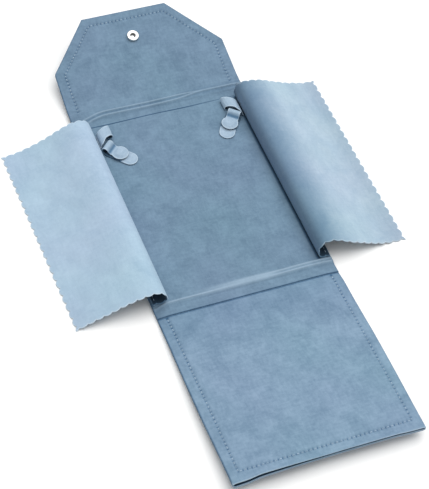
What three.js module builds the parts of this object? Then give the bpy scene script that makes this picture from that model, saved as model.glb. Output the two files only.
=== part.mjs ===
// A necklace travel folder in soft microfibre suede, laid open on a table.
// Three stiffened panels are joined by two soft spines, two pinked cloth wings fold in from the sides of
// the middle panel, two snap keepers hold the ends of a necklace, and a press stud closes the flap.
// Millimetres, +Z up, +Y towards the flap. The origin is under the middle of the centre panel.
import * as THREE from "three";

// Driving sizes of the folder
const folderWidth = 130;
const middleLength = 162.3;
const flapLength = 69.1;
const flapShoulder = 29;
const flapTopWidth = 65;
const pouchRoom = 14.6; // between the middle and the lower panel when the folder is closed

// Layers of a panel, from the table up
const coverThick = 0.8;
const boardThick = 1;
const liningThick = 0.8;
const glueGap = 0.3;
const panelThick = coverThick + glueGap + boardThick + glueGap + liningThick;
const boardInset = 9;
const creaseGap = 0.3; // left open at each crease, so that two bodies never rub

// How far each fold stands open above the table at rest, in degrees; half lies in each crease of a spine
const flapRiseDegrees = 14;
const lowerRiseDegrees = 3;

// Closing press stud
const metalGap = 0.3;
const studProud = 2.4;
const studPlate = 0.5;
const socketThick = 2;
const socketRadius = 4.4;
const snapFromCrease = 45.8;
const closingRoom = metalGap + studPlate + metalGap + socketThick + metalGap;
const upperSpineWidth = pouchRoom + panelThick + closingRoom;
const studFromCrease = middleLength - snapFromCrease; // where the flap's socket comes down
const studFromEnd = 12;
const lowerLength = studFromCrease + studFromEnd;

// Wings: cloth sewn along the side of the middle panel, folded up and back over itself
const clothThick = 0.8;
const clothGap = 0.3;
const wingShortfall = 4.9; // of the wing, over its teeth, against the middle panel
const wingLength = middleLength - wingShortfall;
const wingSpread = 53; // from the panel's side to the free edge
const leftFold = { inset: 10.6, crest: 11.3, closed: 7.6, shift: -0.85 };
const rightFold = { inset: 9.1, crest: 12.3, closed: 8.8, shift: 1.25 };
const curlRadius = 3.5; // where the cloth turns up off the panel
const rollHalf = 8; // from the innermost line of the fold out to its crest
const wingSag = 1.6;
const pinkPitch = 6.8;
const pinkDepth = 1.9;

// Keepers: ribbon loops with a snap
const ribbonWidth = 11;
const ribbonThick = 0.8;

const halfWidth = folderWidth / 2;
const halfLength = middleLength / 2;
const degrees = Math.PI / 180;

const material = (name, color, roughness, metalness = 0) =>
  new THREE.MeshStandardMaterial({ name, color, roughness, metalness });
const suede = material("suede", 0x6f8ca6, 0.95);
const cloth = material("cloth", 0xa4bfd6, 0.9);
const ribbon = material("ribbon", 0xa9bccd, 0.92);
const board = material("board", 0xb9a98c, 0.9);
const thread = material("thread", 0x86a0b8, 0.7);
const nickel = material("nickel", 0xd9dadb, 0.28, 1);

const add = (group, name, geometry, finish) => {
  const mesh = new THREE.Mesh(geometry, finish);
  mesh.name = name;
  group.add(mesh);
  return mesh;
};

// A flat plate: an outline of [x, y] points, with round holes as [x, y, radius], between two heights.
const holeSides = 24;
const plate = (points, low, thick, holes = []) => {
  const shape = new THREE.Shape(points.map(([x, y]) => new THREE.Vector2(x, y)));
  for (const [x, y, radius] of holes) {
    const ring = [...Array(holeSides).keys()].map((k) => {
      const turn = (-2 * Math.PI * k) / holeSides;
      return new THREE.Vector2(x + radius * Math.cos(turn), y + radius * Math.sin(turn));
    });
    shape.holes.push(new THREE.Path(ring));
  }
  return new THREE.ExtrudeGeometry(shape, { depth: thick, bevelEnabled: false }).translate(0, 0, low);
};

// The outline moved inwards, edge k by insets[k]; the outline is convex and runs anticlockwise.
const inset = (points, insets) => {
  const edges = points.map(([x, y], k) => {
    const [nx, ny] = points[(k + 1) % points.length];
    const length = Math.hypot(nx - x, ny - y);
    const inward = [-(ny - y) / length, (nx - x) / length];
    return { inward, at: inward[0] * x + inward[1] * y + insets[k] };
  });
  return edges.map((edge, k) => {
    const last = edges[(k + edges.length - 1) % edges.length];
    const [[a, b], [c, d]] = [last.inward, edge.inward];
    const turn = a * d - b * c;
    return [(last.at * d - edge.at * b) / turn, (a * edge.at - c * last.at) / turn];
  });
};

// A strip that runs round an outline, leaving out the edge on the crease.
const threadWide = 0.7;
const threadThick = 0.3;
const threadGap = 0.2;
const seamStrip = (points, insets, low) => {
  const outer = inset(points, insets.map((d, k) => (k ? d - threadWide / 2 : d)));
  const inner = inset(points, insets.map((d, k) => (k ? d + threadWide / 2 : d)));
  const open = (ring) => [...ring.slice(1), ring[0]];
  return plate([...open(outer), ...open(inner).reverse()], low, threadThick);
};

// Stations along a profile of [u, z] points: the length so far, the place, and the unit normal.
const stationsOf = (points) => {
  let length = 0;
  return points.map(([u, z], k) => {
    const [pu, pz] = points[Math.max(k - 1, 0)];
    const [nu, nz] = points[Math.min(k + 1, points.length - 1)];
    const run = Math.hypot(nu - pu, nz - pz);
    length += Math.hypot(u - pu, z - pz);
    return { length, u, z, normal: [-(nz - pz) / run, (nu - pu) / run] };
  });
};

// The part of a polygon of [s, y] points on one side of a line of constant s.
const clip = (points, limit, sign) => {
  const kept = [];
  points.forEach(([s, y], k) => {
    const [ns, ny] = points[(k + 1) % points.length];
    if (sign * (s - limit) >= 0) kept.push([s, y]);
    if ((s - limit) * (ns - limit) < 0) {
      const share = (limit - s) / (ns - s);
      kept.push([limit, y + (ny - y) * share]);
    }
  });
  return kept;
};

// Cloth or ribbon cut to an outline of [s, y] points and bent along a profile of [u, z] points.
// s runs along the profile and y across it; each strip between two stations stays flat.
const bentSheet = (outline, profile, thick) => {
  const stations = stationsOf(profile);
  const place = ([s, y], side) => {
    let k = stations.findIndex((station) => station.length >= s);
    k = Math.max(k < 0 ? stations.length - 1 : k, 1);
    const [before, after] = [stations[k - 1], stations[k]];
    const share = (s - before.length) / (after.length - before.length);
    const mix = (a, b) => a + (b - a) * share;
    const offset = (side * thick) / 2;
    return [
      mix(before.u, after.u) + offset * mix(before.normal[0], after.normal[0]),
      y,
      mix(before.z, after.z) + offset * mix(before.normal[1], after.normal[1]),
    ];
  };
  const corners = [];
  const face = (...points) => points.forEach((point) => corners.push(...point));
  const inner = stations.slice(1, -1).map((station) => station.length);
  const limits = [-Infinity, ...inner, Infinity];
  for (let k = 0; k + 1 < limits.length; k++) {
    let strip = outline;
    if (k) strip = clip(strip, limits[k], 1);
    if (k + 2 < limits.length) strip = clip(strip, limits[k + 1], -1);
    const flat = strip.map(([s, y]) => new THREE.Vector2(s, y));
    for (const [a, b, c] of THREE.ShapeUtils.triangulateShape(flat, [])) {
      const three = [strip[a], strip[b], strip[c]];
      face(...three.map((p) => place(p, 1)));
      face(...three.reverse().map((p) => place(p, -1)));
    }
  }
  outline.forEach((from, k) => {
    const to = outline[(k + 1) % outline.length];
    const cuts = inner
      .filter((limit) => (from[0] - limit) * (to[0] - limit) < 0)
      .map((limit) => (limit - from[0]) / (to[0] - from[0]))
      .sort((a, b) => a - b)
      .map((share) => [from[0] + (to[0] - from[0]) * share, from[1] + (to[1] - from[1]) * share]);
    const run = [from, ...cuts, to];
    for (let j = 0; j + 1 < run.length; j++) {
      const [a, b, c, d] = [place(run[j], -1), place(run[j + 1], -1), place(run[j + 1], 1), place(run[j], 1)];
      face(a, b, c);
      face(a, c, d);
    }
  });
  return new THREE.BufferGeometry().setAttribute("position", new THREE.Float32BufferAttribute(corners, 3));
};

// Points of an elliptical arc about [u, z], from one angle to another, in degrees.
const arc = ([u, z], [ru, rz], from, to, steps) =>
  [...Array(steps + 1).keys()].map((k) => {
    const turn = (from + ((to - from) * k) / steps) * degrees;
    return [u + ru * Math.cos(turn), z + rz * Math.sin(turn)];
  });

// Every body hangs from a group whose origin lies on its crease, level with the panels' inner face.
const folder = new THREE.Group();
folder.name = "folder";
const middle = new THREE.Group();
middle.name = "middle_panel";
middle.position.z = panelThick;
folder.add(middle);
const lowerEnd = new THREE.Group();
lowerEnd.rotation.z = Math.PI; // the lower end is built like the upper end, turned half round
middle.add(lowerEnd);

const fold = (parent, name, along, rise) => {
  const group = new THREE.Group();
  group.name = name;
  group.position.y = along;
  group.rotation.x = rise * degrees;
  parent.add(group);
  return group;
};
const upperSpine = fold(middle, "upper_spine", halfLength, flapRiseDegrees / 2);
const flap = fold(upperSpine, "flap", upperSpineWidth, flapRiseDegrees / 2);
const lowerSpine = fold(lowerEnd, "lower_spine", halfLength, lowerRiseDegrees / 2);
const lowerPanel = fold(lowerSpine, "lower_panel", pouchRoom, lowerRiseDegrees / 2);

// Panels: a cover, a board and a lining, with raw cut edges
const boardHoleRoom = 0.25;
const postRadius = 1.2;
const postHole = postRadius + metalGap;
const panel = (group, prefix, outline, boardInsets, holes) => {
  const coverLow = -panelThick;
  const boardLow = coverLow + coverThick + glueGap;
  add(group, `${prefix}_cover`, plate(outline, coverLow, coverThick, holes.cover), suede);
  add(group, `${prefix}_board`, plate(inset(outline, boardInsets), boardLow, boardThick, holes.board), board);
  add(group, `${prefix}_lining`, plate(outline, -liningThick, liningThick, holes.lining), suede);
};

// Middle panel
const middleOutline = [
  [-halfWidth, -halfLength + creaseGap / 2],
  [halfWidth, -halfLength + creaseGap / 2],
  [halfWidth, halfLength - creaseGap / 2],
  [-halfWidth, halfLength - creaseGap / 2],
];
const creaseInset = 1.5; // the board stops just short of a crease
panel(middle, "middle", middleOutline, [creaseInset, boardInset, creaseInset, boardInset], {});

// A soft ridge pressed into the suede beside the lower crease, a low swell across the folder
const ridgeHeight = 0.9;
const ridgeWidth = 3;
const ridgeFromCrease = 1.7;
const ridgeSteps = 8;
const swell = (centre, wide, high, low) =>
  arc([centre, low], [-wide / 2, high], 0, 180, ridgeSteps);
const across = (section, wide) => {
  const shape = new THREE.Shape(section.map(([y, z]) => new THREE.Vector2(y, z)));
  const geometry = new THREE.ExtrudeGeometry(shape, { depth: wide, bevelEnabled: false });
  // the section's own axes become Y and Z, and its depth becomes X
  return geometry.rotateX(Math.PI / 2).rotateZ(Math.PI / 2).translate(-wide / 2, 0, 0);
};
const ridgeEnds = 2 * (halfWidth - leftFold.inset - clothThick);
add(middle, "middle_crease_ridge", across(swell(-halfLength + ridgeFromCrease, ridgeWidth, ridgeHeight, 0),
  ridgeEnds), suede);

// Spines: cover and lining with no board between, so that they stay soft. The lining of the upper spine
// keeps two ridges where it creases each time the flap closes.
const bandDrop = 0.6;
const twinRidges = [9.4, 13.4]; // from the crease
const twinRidgeWide = 2.6;
const twinRidgeHigh = 0.9;
const spineStart = creaseGap / 2;
const spineCover = (wide) =>
  plate([
    [-halfWidth, spineStart],
    [halfWidth, spineStart],
    [halfWidth, wide - spineStart],
    [-halfWidth, wide - spineStart],
  ], -panelThick, coverThick);
add(upperSpine, "upper_spine_cover", spineCover(upperSpineWidth), suede);
const liningLow = -panelThick + coverThick + glueGap;
add(upperSpine, "upper_spine_lining", across([
  [spineStart, liningLow],
  [spineStart, -bandDrop],
  [twinRidges[0] - twinRidgeWide / 2, -bandDrop],
  ...twinRidges.flatMap((at) => swell(at, twinRidgeWide, twinRidgeHigh, 0)),
  [upperSpineWidth - spineStart, 0],
  [upperSpineWidth - spineStart, liningLow],
], folderWidth), suede);
add(lowerSpine, "lower_spine_cover", spineCover(pouchRoom), suede);

// The pocket's mouth lies on the lower spine; past it the lining steps up to carry the pocket sheet.
const mouthFromCrease = 8.8;
const creaseEase = 1.2; // kept clear of a crease by what stands above the inner face
add(lowerSpine, "lower_spine_lining", across([
  [spineStart, liningLow],
  [spineStart, -bandDrop],
  [mouthFromCrease, -bandDrop],
  [mouthFromCrease, 0],
  [pouchRoom - spineStart, 0],
  [pouchRoom - spineStart, liningLow],
], folderWidth), suede);
const pocketThick = 0.8;
const pocketSheet = (from, to) =>
  plate([
    [-halfWidth, from],
    [halfWidth, from],
    [halfWidth, to],
    [-halfWidth, to],
  ], glueGap, pocketThick);
add(lowerSpine, "pocket_mouth_hem", pocketSheet(mouthFromCrease, pouchRoom - creaseEase), suede);

// Lower panel, with a slip pocket sewn over its lining on three sides
const rivetFlange = 2.2;
const lowerOutline = [
  [-halfWidth, spineStart],
  [halfWidth, spineStart],
  [halfWidth, lowerLength],
  [-halfWidth, lowerLength],
];
panel(lowerPanel, "lower", lowerOutline, [creaseInset, boardInset, boardInset, boardInset], {
  cover: [[0, studFromCrease, postHole]],
  board: [[0, studFromCrease, rivetFlange + boardHoleRoom]],
});
add(lowerPanel, "pocket_sheet", pocketSheet(creaseEase, lowerLength), suede);
const lowerSeamInsets = [6.5, 8.3]; // along the sides, and along the free end
const seamStart = 2.5; // where the stitching begins, past a crease
const pocketSeam = [seamStart, lowerSeamInsets[0], lowerSeamInsets[1], lowerSeamInsets[0]];
add(lowerPanel, "pocket_seam_thread", seamStrip(lowerOutline, pocketSeam, glueGap + pocketThick + threadGap),
  thread);

// Flap
const flapOutline = [
  [-halfWidth, spineStart],
  [halfWidth, spineStart],
  [halfWidth, flapShoulder],
  [flapTopWidth / 2, flapLength],
  [-flapTopWidth / 2, flapLength],
  [-halfWidth, flapShoulder],
];
const snapHole = [[0, snapFromCrease, postHole]];
panel(flap, "flap", flapOutline, [creaseInset, ...Array(5).fill(boardInset)], {
  cover: snapHole,
  board: snapHole,
  lining: snapHole,
});
const flapSeamInset = 7;
add(flap, "flap_seam_thread", seamStrip(flapOutline, [seamStart, ...Array(5).fill(flapSeamInset)], threadGap),
  thread);

// Turned metal parts: a profile of [radius, height] points spun about the local Z axis.
const turnedSides = 24;
const turned = (profile) =>
  new THREE.LatheGeometry(profile.map(([r, z]) => new THREE.Vector2(r, z)), turnedSides).rotateX(Math.PI / 2);

// Press stud on the flap: cap and post outside, socket with its two spring wires inside
const capRadius = 5;
const capProud = 1.4;
const capRim = 0.5;
const cap = add(flap, "flap_snap_cap", turned([
  [0, -capProud],
  [capRadius * 0.6, -capProud + capRim * 0.3],
  [capRadius, -capRim],
  [capRadius, 0],
  [postRadius, 0],
  [postRadius, panelThick + metalGap],
  [0, panelThick + metalGap],
]), nickel);
cap.position.set(0, snapFromCrease, -panelThick - metalGap);
const mouthRadius = 1.9;
const cavityRadius = 2.7;
const lipThick = 0.3;
const socketFloor = 0.25;
const rimRoll = 0.45;
const socket = add(flap, "flap_snap_socket", turned([
  [postRadius + metalGap, socketFloor],
  [postRadius + metalGap, 0],
  [socketRadius, 0],
  [socketRadius, socketThick - 2 * rimRoll],
  [socketRadius - rimRoll * 0.3, socketThick - rimRoll * 0.6],
  [socketRadius - rimRoll, socketThick - rimRoll * 0.3],
  [socketRadius - rimRoll * 2, socketThick - rimRoll * 0.5],
  [mouthRadius + rimRoll, socketThick - rimRoll * 0.4],
  [mouthRadius, socketThick - rimRoll],
  [mouthRadius, socketThick - rimRoll - lipThick],
  [cavityRadius, socketThick - rimRoll - lipThick],
  [cavityRadius, socketFloor],
  [postRadius + metalGap, socketFloor],
]), nickel);
socket.position.set(0, snapFromCrease, metalGap);
const wireRadius = 0.16;
const wireFromAxis = 1.35;
const wireRoom = 0.1;
const wireReach = Math.sqrt((cavityRadius - wireRoom) ** 2 - (wireFromAxis + wireRadius) ** 2);
const wireHeight = socketThick - rimRoll - lipThick - wireRadius - wireRoom;
const wireBox = (side) => {
  const low = wireHeight - wireRadius;
  const [from, to] = [side * wireFromAxis - wireRadius, side * wireFromAxis + wireRadius];
  return plate([[from, -wireReach], [to, -wireReach], [to, wireReach], [from, wireReach]], low, 2 * wireRadius);
};
for (const [side, name] of [[-1, "left"], [1, "right"]]) {
  const wire = add(flap, `flap_snap_spring_${name}`, wireBox(side), nickel);
  wire.position.copy(socket.position);
}

// Stud on the outside of the lower panel, riveted through the cover
const studHead = 1.6;
const studNeck = 0.95;
const headThick = 0.35;
const studPlateRadius = 4.2;
const closingStud = add(lowerPanel, "closing_stud", turned([
  [0, -studProud],
  [studHead * 0.8, -studProud],
  [studHead, -studProud + headThick * 0.4],
  [studHead, -studProud + headThick],
  [studNeck, -studProud + headThick],
  [studNeck, -studPlate],
  [studPlateRadius, -studPlate],
  [studPlateRadius, 0],
  [0, 0],
]), nickel);
closingStud.position.set(0, studFromCrease, -panelThick - metalGap);
const rivetFlangeThick = 0.6;
const rivet = add(lowerPanel, "closing_stud_rivet", turned([
  [0, -coverThick],
  [postRadius, -coverThick],
  [postRadius, 0],
  [rivetFlange, 0],
  [rivetFlange, rivetFlangeThick],
  [0, rivetFlangeThick],
]), nickel);
rivet.position.set(0, studFromCrease, -panelThick + coverThick + glueGap);

// Wings. Each side is built at +X, and the left one is mirrored.
// The root is sewn flat along the panel's side, then turns up and back over itself in a soft roll.
// The wing itself runs from the top of the roll down to the table, and turns about the roll to close.
const scallopShares = [[0, 0], [0.25, 0.8], [0.5, 1], [0.75, 0.8]]; // of a tooth's pitch and depth
const pinked = (length) => {
  const teeth = Math.round(length / pinkPitch);
  return [...Array(teeth).keys()].flatMap((tooth) =>
    scallopShares.map(([along, out]) => [((tooth + along) * length) / teeth, out * pinkDepth]));
};
// An outline of [s, y] points with three pinked sides: from s = 0 to long, between the two ends in y.
const pinkedOutline = (long, low, high, pinkedEnd) => {
  const bottom = pinked(long).map(([s, out]) => [s, low - out]);
  const top = pinked(long).map(([s, out]) => [long - s, high + out]);
  const end = pinked(high - low).map(([y, out]) => [long + out, low + y]);
  return [...bottom, ...(pinkedEnd ? end : [[long, low]]), ...top, [0, high]];
};
const curlSteps = 5;
const rollSteps = 9;
const wingSteps = 6;
const wingJoinGap = 0.4;
const rootEdge = 0.5; // the root's raw edge lies just inside the panel's
const seamFromEdge = 2;

const wingSide = (side, fold) => {
  const group = new THREE.Group();
  group.name = `${side}_wing_side`;
  group.position.y = fold.shift;
  if (side === "left") group.scale.x = -1;
  middle.add(group);
  const low = clothGap + clothThick / 2;
  const near = pinkDepth - wingLength / 2;
  const far = wingLength / 2 - pinkDepth;
  const inner = halfWidth - fold.inset;
  const tip = [halfWidth + wingSpread - pinkDepth, low - panelThick];
  const centre = [inner + rollHalf, low + curlRadius];
  const rise = fold.crest - centre[1];
  // where a line from the tip touches the roll, found on the circle that the ellipse scales to
  const scaled = [tip[0] - centre[0], ((tip[1] - centre[1]) * rollHalf) / rise];
  const touch = Math.atan2(scaled[1], scaled[0]) + Math.acos(rollHalf / Math.hypot(...scaled));
  const rootProfile = [
    [halfWidth - rootEdge, low],
    ...arc([inner + curlRadius, low + curlRadius], [curlRadius, curlRadius], 270, 180, curlSteps),
    ...arc(centre, [rollHalf, rise], 180, touch / degrees, rollSteps).slice(1),
  ];
  const rootOutline = pinkedOutline(stationsOf(rootProfile).at(-1).length, near, far, false);
  add(group, `${side}_wing_root`, bentSheet(rootOutline, rootProfile, clothThick), cloth);

  const joint = rootProfile.at(-1);
  const slope = Math.atan2(joint[1] - tip[1], tip[0] - joint[0]);
  const [along, down] = [Math.cos(slope), Math.sin(slope)];
  const start = [joint[0] + wingJoinGap * along, joint[1] - wingJoinGap * down];
  // the one turn that carries the start and the slope to the closed place, level over the panel
  const closed = [inner, fold.closed];
  const reach = 1 / (2 * Math.tan((Math.PI + slope) / 2));
  const pivot = [
    (start[0] + closed[0]) / 2 - reach * (closed[1] - start[1]),
    (start[1] + closed[1]) / 2 + reach * (closed[0] - start[0]),
  ];
  const wing = new THREE.Group();
  wing.name = `${side}_wing`;
  wing.position.set(pivot[0], 0, pivot[1]);
  group.add(wing);
  const length = Math.hypot(tip[0] - start[0], tip[1] - start[1]);
  const profile = [...Array(wingSteps + 1).keys()].map((k) => {
    const run = (length * k) / wingSteps;
    const sag = wingSag * Math.sin((Math.PI * k) / wingSteps);
    return [
      start[0] - pivot[0] + run * along - sag * down,
      start[1] - pivot[1] - run * down - sag * along,
    ];
  });
  const outline = pinkedOutline(stationsOf(profile).at(-1).length, near, far, true);
  add(wing, `${side}_wing_sheet`, bentSheet(outline, profile, clothThick), cloth);

  // the line of stitching that sews the root to the panel
  const seam = halfWidth - rootEdge - seamFromEdge;
  add(group, `${side}_wing_seam_thread`, plate([
    [seam - threadWide, near],
    [seam, near],
    [seam, far],
    [seam - threadWide, far],
  ], low + clothThick / 2 + threadGap, threadThick), thread);
};
wingSide("left", leftFold);
wingSide("right", rightFold);

// Keepers. A ribbon loop stands beside each roll for the chain to pass through, and in front of it a
// second ribbon folds back over itself and snaps shut: a leaf below, and a tongue that lifts.
const loopRoom = 6.6; // from the innermost line of the wing's fold to the middle of the loop
const loopHalf = 5.3;
const loopHeight = 5;
const anchorLength = 1.6;
const footLength = 2.4;
const footRise = 0.9;
const ribbonBottom = clothGap + ribbonThick / 2;
const loopSteps = 14;
const leftKeeper = { loopBack: 9.55, rootInset: 17.5, rootBack: 24.55, turn: 226 };
const rightKeeper = { loopBack: 7.95, rootInset: 16.9, rootBack: 19.45, turn: 230 };
const leafLength = 22.4;
const foldHeight = 4.5;
const foldHalf = 2.4;
const foldSteps = 10;
const endSteps = 8;
const tongueLength = 14.4;
const tongueRun = 6; // from the fold down to the snap's level
const snapStack = 2.4; // between the middles of leaf and tongue
const snapFromEnd = 5;
const keeperStudRadius = 3.4;
const keeperPostRadius = 1.4;
const keeperPlate = 0.4;
const keeperPostTop = 0.95;
const keeperRingThick = 0.7;
const tongueGap = 0.4; // between the fold of the leaf and the tongue that it carries

// A ribbon's outline: square at s = 0, and square or round at its other end.
const ribbonOutline = (length, roundEnd) => {
  const half = ribbonWidth / 2;
  const straight = length - (roundEnd ? half : 0);
  const end = roundEnd ? arc([straight, 0], [half, half], -90, 90, endSteps) : [[length, -half], [length, half]];
  return [[0, -half], ...end, [0, half]];
};
const ribbonAlong = (profile, roundEnd) =>
  bentSheet(ribbonOutline(stationsOf(profile).at(-1).length, roundEnd), profile, ribbonThick);
const dropShares = [0.25, 0.5, 0.75, 1]; // of the tongue's run down to the snap
const keeper = (side, fold, place) => {
  const group = new THREE.Group();
  group.name = `${side}_keeper_place`;
  if (side === "left") group.scale.x = -1;
  middle.add(group);
  const loopPlace = new THREE.Group();
  loopPlace.position.set(halfWidth - fold.inset - loopRoom, halfLength - place.loopBack, 0);
  group.add(loopPlace);
  const innerFoot = footRise / 2 - loopHalf;
  add(loopPlace, `${side}_keeper_loop`, ribbonAlong([
    [loopHalf + anchorLength, ribbonBottom],
    ...arc([0, ribbonBottom + footRise / 2], [loopHalf, loopHeight], 0, 180, loopSteps),
    [innerFoot, ribbonBottom],
    [innerFoot + footLength, ribbonBottom],
  ], false), ribbon);

  const leafPlace = new THREE.Group();
  leafPlace.position.set(halfWidth - place.rootInset, halfLength - place.rootBack, 0);
  leafPlace.rotation.z = place.turn * degrees;
  group.add(leafPlace);
  add(leafPlace, `${side}_keeper_leaf`, ribbonAlong([
    ...arc([0, ribbonBottom + foldHeight / 2], [foldHalf, foldHeight / 2], 90, 270, foldSteps),
    [leafLength, ribbonBottom],
  ], true), ribbon);

  const tongue = new THREE.Group();
  tongue.name = `${side}_keeper_tongue_body`;
  tongue.position.set(tongueGap, 0, ribbonBottom + foldHeight);
  leafPlace.add(tongue);
  const level = snapStack - foldHeight;
  add(tongue, `${side}_keeper_tongue`, ribbonAlong([
    [0, 0],
    ...dropShares.map((share) => [tongueRun * share, (level * (1 - Math.cos(Math.PI * share))) / 2]),
    [tongueLength, level],
  ], true), ribbon);

  const snapAt = tongueLength - snapFromEnd;
  const stud = add(leafPlace, `${side}_keeper_stud`, turned([
    [0, 0],
    [keeperStudRadius, 0],
    [keeperStudRadius, keeperPlate],
    [keeperPostRadius, keeperPlate],
    [keeperPostRadius, keeperPostTop],
    [0, keeperPostTop],
  ]), nickel);
  stud.position.set(tongueGap + snapAt, 0, ribbonBottom + ribbonThick / 2);
  const ring = add(tongue, `${side}_keeper_socket`, turned([
    [keeperPostRadius + metalGap, 0],
    [keeperPostRadius + metalGap, -keeperRingThick],
    [keeperStudRadius, -keeperRingThick],
    [keeperStudRadius, 0],
    [keeperPostRadius + metalGap, 0],
  ]), nickel);
  ring.position.set(snapAt, 0, level - ribbonThick / 2);
};
keeper("left", leftFold, leftKeeper);
keeper("right", rightFold, rightKeeper);

export default folder;
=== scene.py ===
"""A necklace travel folder in soft microfibre suede, laid open on a table.

Metres, +Z up, +Y towards the flap. The origin is under the middle of the centre panel.
"""
import math

import bpy
import numpy as np
from mathutils import Matrix


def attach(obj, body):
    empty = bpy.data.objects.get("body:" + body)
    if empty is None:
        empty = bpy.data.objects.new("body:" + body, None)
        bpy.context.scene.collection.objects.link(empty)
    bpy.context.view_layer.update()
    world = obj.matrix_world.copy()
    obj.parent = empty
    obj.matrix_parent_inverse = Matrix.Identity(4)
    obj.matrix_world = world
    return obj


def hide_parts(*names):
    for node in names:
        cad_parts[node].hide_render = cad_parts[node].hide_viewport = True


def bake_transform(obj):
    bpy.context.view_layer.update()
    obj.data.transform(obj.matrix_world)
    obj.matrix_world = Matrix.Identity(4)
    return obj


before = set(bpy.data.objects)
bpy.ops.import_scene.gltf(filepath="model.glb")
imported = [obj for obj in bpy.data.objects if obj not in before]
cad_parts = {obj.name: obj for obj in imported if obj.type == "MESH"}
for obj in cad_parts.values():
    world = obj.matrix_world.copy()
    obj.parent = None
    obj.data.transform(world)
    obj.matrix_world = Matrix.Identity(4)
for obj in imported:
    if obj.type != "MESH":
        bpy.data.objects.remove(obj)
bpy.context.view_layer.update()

# --- Outer cover ---------------------------------------------------------------------------------
# The outside of the folder is one long strip of microfibre suede, knife cut, nap side outwards.
# It is glued to three boards, and left soft over the two spines, where the folder bends.
mm = 0.001
half_width = 65 * mm
upper_crease, flap_crease, flap_end = 81.15 * mm, 102.15 * mm, 171.25 * mm
lower_crease, pocket_crease, lower_end = -81.15 * mm, -95.75 * mm, -223.5 * mm
panel_stack = 3.2 * mm  # cover, board and lining, with their glue
suede_thick = 0.8 * mm
crease_reach = 1.5 * mm  # each crease is a soft bend over this much cloth on either side
turn_reach = 2.2 * mm  # and turns within this much when it is folded
upper_bend, lower_bend = math.radians(7), -math.radians(1.5)  # how far each crease is bent as the folder lies
flap_shoulder, flap_top_half = 29 * mm, 32.5 * mm
flap_slant = 0.777  # the cosine of the turn of the flap's slanted sides
board_inset = 9 * mm
cut_rim = 0.3 * mm  # how far the knife's edge is rounded over by wear
scissor_sway = 0.25 * mm  # how far the long edges stray from straight
end_hollow, hollow_reach = 1.0 * mm, 12 * mm  # the raw lower end is cut a little hollow
end_gap, end_wedge, gape_reach = 1.2 * mm, 1.7 * mm, 8 * mm  # how far its layers part there
# from a raw edge inwards, where the grids have rows for its rounding and its fall
rim_steps = mm * np.array([0.06, 0.14, 0.3, 0.6, 1.2, 2.2, 3.4, 4.8, 6.4, 8.2])
sharp_corner = math.radians(70)


def ease(t):
    """The smooth step 3t^2 - 2t^3, held at 0 before t = 0 and at 1 after t = 1."""
    t = np.clip(t, 0, 1)
    return t * t * (3 - 2 * t)


def bump(distance, reach):
    """A soft swell: the bell curve exp(-(distance / reach)^2)."""
    return np.exp(-((distance / reach) ** 2))


def within(at, low, high, low_reach, high_reach):
    """1 between two places, easing to 0 at them over the reach just inside each."""
    return ease((at - low) / low_reach) * ease((high - at) / high_reach)


def drift(u, v, size, seed):
    """Slow waves of cloth between about -1 and 1: seven plane waves of seeded direction and phase,
    whose lengths lie round size, added up."""
    chance = np.random.default_rng(seed)
    waves = zip(chance.uniform(0, math.pi, 7), chance.uniform(0, 2 * math.pi, 7), chance.uniform(0.7, 1.8, 7))
    total = 0
    for turn, phase, stretch in waves:
        along = u * math.cos(turn) + v * math.sin(turn)
        total = total + np.sin(2 * math.pi * along / (size * stretch) + phase)
    return total / 3.5


# The folder's own line, from the lower panel's end to the flap's: the slope turns at each crease, and
# height and distance are its running sums.
line_at = np.linspace(lower_end - 6 * mm, flap_end + 6 * mm, 16001)  # a little past both ends
line_slope = 0 * line_at
for crease, bend in ((upper_crease, upper_bend), (flap_crease, upper_bend),
                     (lower_crease, lower_bend), (pocket_crease, lower_bend)):
    line_slope += bend * ease((line_at - crease) * math.copysign(1, crease) / (2 * crease_reach) + 0.5)
line_step = line_at[1] - line_at[0]
line_y = np.cumsum(np.cos(line_slope)) * line_step
line_z = np.cumsum(np.sin(line_slope)) * line_step
line_y -= np.interp(0, line_at, line_y)
line_z += panel_stack - np.interp(0, line_at, line_z)


def on_folder(x, s, lift):
    """Points at x across the folder and s along its line, raised by lift square to its inner face."""
    slope = np.interp(s, line_at, line_slope)
    y = np.interp(s, line_at, line_y) - lift * np.sin(slope)
    z = np.interp(s, line_at, line_z) + lift * np.cos(slope)
    return np.stack(np.broadcast_arrays(x, y, z), axis=-1)


def set_down(name, data):
    """Puts a mesh, a light or a camera into the scene under its name."""
    thing = bpy.data.objects.new(name, data)
    bpy.context.collection.objects.link(thing)
    return thing


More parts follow.
